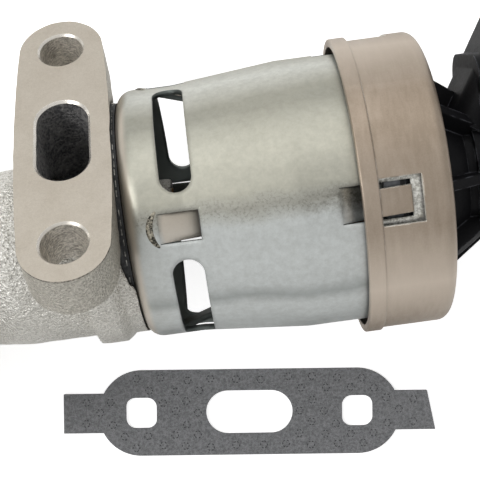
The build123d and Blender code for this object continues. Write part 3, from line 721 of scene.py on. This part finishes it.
# Cuts a shape along a plane, and returns the new edges.
def sliced(shape, point, normal, clearOuter=False):
    everything = shape.verts[:] + shape.edges[:] + shape.faces[:]
    cut = bmesh.ops.bisect_plane(shape, geom=everything, dist=1e-7, plane_co=point,
                                 plane_no=normal, clear_outer=clearOuter)
    return [element for element in cut["geom_cut"] if isinstance(element, bmesh.types.BMEdge)]


# Slices off all beyond a plane and closes the cut with a flat face.
def millFlat(shape, point, normal):
    rim = sliced(shape, point, normal, clearOuter=True)
    bmesh.ops.triangle_fill(shape, use_beauty=True, use_dissolve=False, edges=rim, normal=normal)


# A closed plug with a 45 degree chamfer at the flange face, drawn out along the bolt line.
def plugShape(radius, halfStraight, chamfer, depth):
    shape = bmesh.new()
    sides, rise = casting["plugSides"], casting["plugRise"]
    bmesh.ops.create_circle(shape, cap_ends=True, radius=radius, segments=sides)
    bmesh.ops.rotate(shape, verts=shape.verts, matrix=Matrix.Rotation(math.pi / sides, 3, "Z"))
    for vert in shape.verts:
        vert.co.y += math.copysign(halfStraight, vert.co.y)
        vert.co.z = -depth
    for height, growth in ((-chamfer, 0.0), (rise, chamfer + rise)):
        top = max(shape.faces, key=lambda face: face.calc_center_median().z)
        moved = bmesh.ops.extrude_face_region(shape, geom=[top])["geom"]
        if growth:
            bmesh.ops.delete(shape, geom=[top], context="FACES_ONLY")
        for vert in (element for element in moved if isinstance(element, bmesh.types.BMVert)):
            vert.co.z = height
            if growth:
                straight = math.copysign(halfStraight, vert.co.y)
                outward = Vector((vert.co.x, vert.co.y - straight, 0)).normalized()
                vert.co += outward * growth
    bmesh.ops.recalc_face_normals(shape, faces=shape.faces)
    return shape


# The gasket's seat and the rim round it, which stay crisper than the rest of the casting.
def nearGasket(point):
    return (point.x > layout["gasketFace"] - casting["rimDepth"]
            and offAxis(point).length < casting["rimReach"]
            and heightAbove(point) < casting["rimHeight"])


# The rim under the can rounds in towards its free edge along the lower side.
def roundLowerRim(shape):
    rim = casting["lowerRim"]
    for vert in shape.verts:
        sideShare = (vert.co.y - rim["fadeFrom"]) / (rim["fadeTo"] - rim["fadeFrom"])
        earShare = (rim["earClear"] - heightAbove(vert.co)) / rim["earFade"]
        share = min(sideShare, earShare, 1.0)
        if vert.co.x < rim["from"] or share <= 0.0:
            continue
        across = offAxis(vert.co)
        along = min((vert.co.x - rim["from"]) / (rim["to"] - rim["from"]), 1.0)
        radius = rim["wide"] + (rim["narrow"] - rim["wide"]) * along ** rim["curve"]
        if across.length > radius:
            vert.co -= across.normalized() * (across.length - radius) * share
        if vert.co.x > rim["top"] and across.length > rim["inner"]:
            vert.co.x += rim["rise"] * share


# The CAD body with the faces to be milled raised, so that remeshing can't round their edges.
def raisedLump():
    shape = shapeOf(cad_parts["valve_body"].data)
    bmesh.ops.remove_doubles(shape, verts=shape.verts, dist=casting["weld"])
    flangeTop = layout["flangeHeight"] - casting["onFace"]
    lifted = [vert for vert in shape.verts if heightAbove(vert.co) > flangeTop]
    bmesh.ops.translate(shape, verts=lifted, vec=flangeNormal * casting["lift"])
    lifted = [vert for vert in shape.verts if vert.co.x < layout["inletFace"] + casting["onFace"]]
    bmesh.ops.translate(shape, verts=lifted, vec=-axisLine * casting["lift"])
    return meshOf(shape, "castLump")


# Smooths a remeshed lump and gives it the slight waves of an as-cast skin.
def soften(shape):
    soft = [vert for vert in shape.verts if not nearGasket(vert.co)]
    for number in range(casting["smoothRounds"]):
        verts = shape.verts if number < casting["rimRounds"] else soft
        bmesh.ops.smooth_vert(shape, verts=verts, factor=0.5,
                              use_axis_x=True, use_axis_y=True, use_axis_z=True)
    for vert in shape.verts:
        wave = noise.noise(vert.co * casting["waveScale"])
        vert.co += vert.normal * wave * casting["waviness"]


# Drills the two bolt holes and the port through the flange face.
def drilled(mesh):
    turn = Matrix((axisLine, flangeNormal.cross(axisLine), flangeNormal)).transposed().to_4x4()
    for side in (1, -1):
        centre = flangeCentre + boltLine * side * layout["boltSpacing"] / 2
        plug = plugShape(casting["boltRadius"], 0.0, casting["boltChamfer"], casting["boltDepth"])
        mesh = cutOut(mesh, plug, Matrix.Translation(centre) @ turn)
    plug = plugShape(casting["portRadius"], casting["portHalfStraight"], casting["portChamfer"],
                     casting["portDepth"])
    return cutOut(mesh, plug, Matrix.Translation(flangeCentre) @ turn)


castFinishes = {
    "cast": materials["cast_aluminium"], "milled": milledFace, "chamfer": milledEdge,
    "sooted": sootedBore, "drilled": drilledBore, "burred": burredEdge, "shadedUnderFlange": shadedEarWall,
}


# Which of the casting's finishes a face has.
def castArea(face):
    areas = casting["areas"]
    centre = face.calc_center_median()
    height, top = heightAbove(centre), layout["flangeHeight"]
    fromFoot = centre - flangeFoot
    along, across = abs(fromFoot.dot(boltLine)), abs(fromFoot.x)
    facing = face.normal.dot(flangeNormal)
    if height > top - areas["onFace"] and facing > areas["milledFacing"]:
        return "milled"
    if centre.x < layout["inletFace"] + areas["onFace"]:
        return "milled"
    fromBolt = math.hypot(along - layout["boltSpacing"] / 2, across)
    atMouth = fromBolt < areas["boltChamferEnd"] or along < areas["portChamferEnd"]
    sloped = height > top - areas["chamferHeight"] and facing > areas["chamferFacing"]
    if sloped and atMouth:
        return "chamfer"
    boltWall = casting["boltRadius"] + areas["boltMargin"]
    if fromBolt < boltWall and height > areas["boltFloor"]:
        return "drilled"
    fromPort = math.hypot(max(along - casting["portHalfStraight"], 0), across)
    portWall = casting["portRadius"] + areas["portMargin"]
    if fromPort < portWall and height > areas["portFloor"]:
        return "sooted"
    inletY, inletZ = areas["inletCentre"]
    fromInlet = math.hypot(centre.y - inletY, centre.z - inletZ)
    if centre.x < areas["inletEnd"] and fromInlet < areas["inletRadius"]:
        return "sooted"
    if height > top - casting["edgeBreak"]:
        return "burred"
    return "shadedUnderFlange" if height > top - casting["earDepth"] else "cast"


# The casting: soft as-cast skin, then the flange faces milled flat and the holes drilled crisp.
def makeCasting():
    remesh = {"mode": "VOXEL", "voxel_size": casting["voxel"]}
    shape = shapeOf(throughModifier(raisedLump(), "REMESH", remesh))
    soften(shape)
    roundLowerRim(shape)
    millFlat(shape, flangeCentre, flangeNormal)
    millFlat(shape, axisLine * layout["inletFace"], -axisLine)
    for drop in (casting["edgeBreak"], casting["earDepth"]):
        sliced(shape, flangeCentre - flangeNormal * drop, flangeNormal)
    shape = shapeOf(drilled(meshOf(shape, "castMilled")))
    numbers = {name: number for number, name in enumerate(castFinishes)}
    for face in shape.faces:
        face.smooth = True
        face.material_index = numbers[castArea(face)]
    piece = addPiece("castBody", shape, castFinishes.values(), ["valve_body"])
    piece.data.set_sharp_from_angle(angle=math.radians(casting["sharpAngle"]))


makeCasting()
print("casting milled and drilled")


# A block of the given size, placed by a matrix, added to a shape.
def addBlock(shape, size, place):
    block = bmesh.ops.create_cube(shape, size=1.0)["verts"]
    bmesh.ops.scale(shape, vec=size, verts=block)
    bmesh.ops.transform(shape, matrix=place, verts=block)


# From a frame on the axis, X outward and Z along the valve, to the scene.
def onAxis(degrees, station):
    turn = math.radians(degrees)
    outward = flangeNormal * math.cos(turn) + boltLine * math.sin(turn)
    frameOf = Matrix((outward, axisLine.cross(outward), axisLine)).transposed().to_4x4()
    foot = layout["axis"] + axisLine * (layout["canBottom"] + station)
    return Matrix.Translation(foot) @ frameOf


tangs = {
    "count": 76, "rows": (-0.00055, -0.00195), "size": (0.0004, 0.0012, 0.00016), "sunk": 0.00015,
    "skipEvery": 7, "skipShift": 4, "swayDegrees": 0.5, "wander": 0.00008, "seed": 5,
}


# Bright tangs of the gasket's steel core, bent round its edge in two rows.
def makeTangs():
    chance = random.Random(tangs["seed"])
    sway, wander = tangs["swayDegrees"], tangs["wander"]
    reach = max(offAxis(vert.co).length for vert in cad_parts["body_gasket"].data.vertices)
    outward = Matrix.Translation((reach - tangs["sunk"], 0, 0))
    shape = bmesh.new()
    for row, station in enumerate(tangs["rows"]):
        for number in range(tangs["count"]):
            if (number + tangs["skipShift"] * row) % tangs["skipEvery"] == 0:
                continue
            angle = 360 * (number + 0.5 * row) / tangs["count"] + chance.uniform(-sway, sway)
            place = onAxis(angle, station + chance.uniform(-wander, wander))
            addBlock(shape, tangs["size"], place @ outward)
    addPiece("gasketTangs", shape, [dullSteel])


tabFold = {
    "angles": (47.4, 137.4, 227.4, 317.4), "station": 0.0092, "wall": 0.0253,
    "arcRadius": 0.0045, "arc": 96, "thickness": 0.0010, "sunk": 0.00072,
    "sides": 10, "steps": 14, "reach": 0.006, "weld": 1e-7,
    # how the crescent thins towards its ends: degrees past the end, least share, power
    "pastEnd": 4, "slimmest": 0.1, "slimPower": 0.6,
}


# The crescent that stands up where each low tab is folded in, in zinc darkened as painted shade.
def makeTabFolds():
    shape = bmesh.new()
    halfArc, reach = tabFold["arc"] / 2, tabFold["reach"]
    for degrees in tabFold["angles"]:
        ring = bmesh.ops.create_circle(shape, cap_ends=True, radius=tabFold["thickness"],
                                       segments=tabFold["sides"])["verts"]
        bmesh.ops.rotate(shape, verts=ring, matrix=Matrix.Rotation(math.pi / 2, 3, "X"))
        bmesh.ops.translate(shape, verts=ring, vec=(tabFold["arcRadius"], 0, 0))
        bmesh.ops.rotate(shape, verts=ring, matrix=Matrix.Rotation(math.radians(-halfArc), 3, "Z"))
        start = list({face for vert in ring for face in vert.link_faces})
        bmesh.ops.spin(shape, geom=ring + start, axis=(0, 0, 1), cent=(0, 0, 0),
                       angle=math.radians(tabFold["arc"]), steps=tabFold["steps"])
        fold = [vert for vert in shape.verts if abs(vert.co.x) < reach and vert.co.length < reach]
        for vert in fold:
            turn = math.atan2(vert.co.y, vert.co.x)
            taper = math.cos(turn * 90 / (halfArc + tabFold["pastEnd"]))
            slim = max(taper, tabFold["slimmest"]) ** tabFold["slimPower"]
            middle = Vector((math.cos(turn), math.sin(turn), 0)) * tabFold["arcRadius"]
            vert.co = middle + (vert.co - middle) * slim
            vert.co.z -= vert.co.y ** 2 / (2 * tabFold["wall"]) + tabFold["sunk"] * slim
        standing = Matrix(((0, 0, 1, tabFold["wall"]), (0, 1, 0, 0), (-1, 0, 0, 0), (0, 0, 0, 1)))
        place = onAxis(degrees, tabFold["station"]) @ standing
        bmesh.ops.transform(shape, verts=fold, matrix=place)
    bmesh.ops.remove_doubles(shape, verts=shape.verts, dist=tabFold["weld"])
    bmesh.ops.recalc_face_normals(shape, faces=shape.faces)
    for face in shape.faces:
        face.smooth = True
    addPiece("tabFolds", shape, [foldShadeZinc])


clinch = {
    "centre": (-0.004535, -0.038345), "yaw": -7.0, "top": 0.0012,
    "rows": range(-4, 5), "rowStep": 0.0026, "columns": range(-8, 9), "pitch": 0.0058,
    "wander": 0.0004, "ringRadius": 0.00078, "ticks": 6, "tick": (0.0002, 0.00042, 0.00016),
    "tickSunk": 0.00004, "tickTurn": 0.2, "margin": 0.0013, "seed": 11,
    "plan": {"boltPlace": 0.025, "bodyHalf": 0.00985, "tabEnd": 0.0415, "tabHalf": 0.0045,
             "portHalfStraight": 0.005, "portRadius": 0.005, "holeHalf": 0.00355},
}


# True where a clinch mark has room on the flange gasket, in the gasket's own frame.
def roomForClinch(x, y):
    plan, margin = clinch["plan"], clinch["margin"]
    body = math.hypot(max(abs(x) - plan["boltPlace"], 0), y) < plan["bodyHalf"] - margin
    tab = abs(x) < plan["tabEnd"] - margin and abs(y) < plan["tabHalf"] - margin
    fromPort = math.hypot(max(abs(x) - plan["portHalfStraight"], 0), y)
    port = fromPort < plan["portRadius"] + margin
    hole = max(abs(abs(x) - plan["boltPlace"]), abs(y)) < plan["holeHalf"] + margin
    return (body or tab) and not port and not hole


# Rings of small dark ticks where the core's teeth are clinched through the sheet.
def makeClinches():
    chance = random.Random(clinch["seed"])
    shape = bmesh.new()
    yaw = Matrix.Rotation(math.radians(clinch["yaw"]), 4, "Z")
    lay = Matrix.Translation((*clinch["centre"], clinch["top"])) @ yaw
    outward = Matrix.Translation((clinch["ringRadius"], 0, -clinch["tickSunk"]))
    for row in clinch["rows"]:
        for column in clinch["columns"]:
            x = (column + 0.5 * (row % 2)) * clinch["pitch"]
            x += chance.uniform(-1, 1) * clinch["wander"]
            y = row * clinch["rowStep"] + chance.uniform(-1, 1) * clinch["wander"]
            if not roomForClinch(x, y):
                continue
            for number in range(clinch["ticks"]):
                sway = chance.uniform(-clinch["tickTurn"], clinch["tickTurn"])
                turn = Matrix.Rotation(math.tau * number / clinch["ticks"] + sway, 4, "Z")
                place = lay @ Matrix.Translation((x, y, 0)) @ turn @ outward
                addBlock(shape, clinch["tick"], place)
    addPiece("gasketClinches", shape, [clinchedSheet])


makeTangs()
makeTabFolds()
makeClinches()
print("gasket tangs, tab folds and clinch marks placed")

springs = {
    "travel": 0.0045,
    "weld": 1e-6,
    # piece, CAD node, joint, end that stays
    "pieces": [("returnSpring", "return_spring", "pintle_lift", 0.024765),
               ("sensorSpring", "sensor_spring", "sensor_follow", 0.058165)],
}


# Each spring as a piece of its own: its CAD mesh welded and smooth-shaded, on the valve's body.
def makeSpring(name, node, joint, fixedEnd):
    shape = shapeOf(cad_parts[node].data)
    bmesh.ops.remove_doubles(shape, verts=shape.verts, dist=springs["weld"])
    bmesh.ops.recalc_face_normals(shape, faces=shape.faces)
    for face in shape.faces:
        face.smooth = True
    piece = addPiece(name, shape, [materials["spring_steel"]], [node])
    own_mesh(piece)


for spring in springs["pieces"]:
    makeSpring(*spring)
print("springs placed")

studio = {
    "floorSize": 3.0,
    "floorShade": 0.86,
    "floorRoughness": 0.9,
    "backgroundShare": 0.72,
    "worldStrength": 0.42,
    # the dome that shiny surfaces show: its middle, where it turns darker, and its two shades
    "overhead": (0.0, 0.08, 0.997),
    "domeFrom": 0.3,
    "zenithShade": 0.8,
    "horizonShade": 0.66,
    "glossShare": 0.2,
    # name, place, size, power
    "lamps": [
        ("upperSoftbox", (0.0, 0.9, 0.8), (1.6, 1.0), 4.6),
        ("lowerSoftbox", (-0.3, -1.0, 0.6), (1.4, 0.8), 0.7),
        ("leftSoftbox", (-0.8, 0.15, 0.95), (0.5, 0.6), 5.4),
    ],
    "lampTarget": (0.0, 0.0, 0.03),
}


def addLamp(name, place, size, power):
    data = bpy.data.lights.new(name, "AREA")
    data.shape = "RECTANGLE"
    data.size, data.size_y = size
    data.energy = power
    lamp = placed(name, data)
    lamp.location = place
    towards = Vector(studio["lampTarget"]) - Vector(place)
    lamp.rotation_euler = towards.to_track_quat("-Z", "Y").to_euler()


for lamp in studio["lamps"]:
    addLamp(*lamp)


# White to the camera and, in part, in reflections, with the object's shadow kept on it.
def backgroundRays(tree):
    rays = tree.nodes.new("ShaderNodeLightPath").outputs
    reflected = mathNode(tree, "MULTIPLY", rays["Is Glossy Ray"], studio["glossShare"])
    direct = mathNode(tree, "MAXIMUM", rays["Is Camera Ray"], reflected)
    return mathNode(tree, "MAXIMUM", direct, rays["Is Transmission Ray"])


def makeFloor():
    shape = bmesh.new()
    bmesh.ops.create_grid(shape, x_segments=1, y_segments=1, size=studio["floorSize"] / 2)
    floor = placed("floor", meshOf(shape, "floor"))
    material = bpy.data.materials.new("paleFloor")
    material.use_nodes = True
    tree = material.node_tree
    shader = tree.nodes["Principled BSDF"]
    shader.inputs["Base Color"].default_value = (studio["floorShade"],) * 3 + (1,)
    shader.inputs["Roughness"].default_value = studio["floorRoughness"]
    shader.inputs["Emission Color"].default_value = (1, 1, 1, 1)
    glow = mathNode(tree, "MULTIPLY", backgroundRays(tree), studio["backgroundShare"])
    tree.links.new(glow, shader.inputs["Emission Strength"])
    floor.data.materials.append(material)


# White to the camera, plain light on the object and a soft dome in reflections.
def makeWorld():
    world = bpy.data.worlds.new("studioWorld")
    world.use_nodes = True
    bpy.context.scene.world = world
    tree = world.node_tree
    background = tree.nodes["Background"]
    background.inputs["Color"].default_value = (1, 1, 1, 1)
    direction = tree.nodes.new("ShaderNodeTexCoord").outputs["Generated"]
    upward = vectorNode(tree, "DOT_PRODUCT", direction, studio["overhead"])
    dome = rangeNode(tree, upward, studio["domeFrom"], 1.0,
                     studio["horizonShade"], studio["zenithShade"])
    rays = tree.nodes.new("ShaderNodeLightPath").outputs
    seen = mathNode(tree, "MAXIMUM", rays["Is Camera Ray"], rays["Is Transmission Ray"])
    unseen = rangeNode(tree, rays["Is Glossy Ray"], 0.0, 1.0, studio["worldStrength"], dome)
    strength = rangeNode(tree, seen, 0.0, 1.0, unseen, 1.0)
    tree.links.new(strength, background.inputs["Strength"])


makeFloor()
makeWorld()
print("studio ready")

view = {"place": (-0.00135, 0.001355, 0.2631), "turn": -7.735, "sensor": 36, "lens": 84.9}
cameraData = bpy.data.cameras.new("camera")
cameraData.sensor_width = view["sensor"]
cameraData.lens = view["lens"]
camera = placed("camera", cameraData)
camera.location = view["place"]
camera.rotation_euler = (0, 0, math.radians(view["turn"]))
bpy.context.scene.camera = camera
bpy.context.scene.view_settings.view_transform = "Standard"
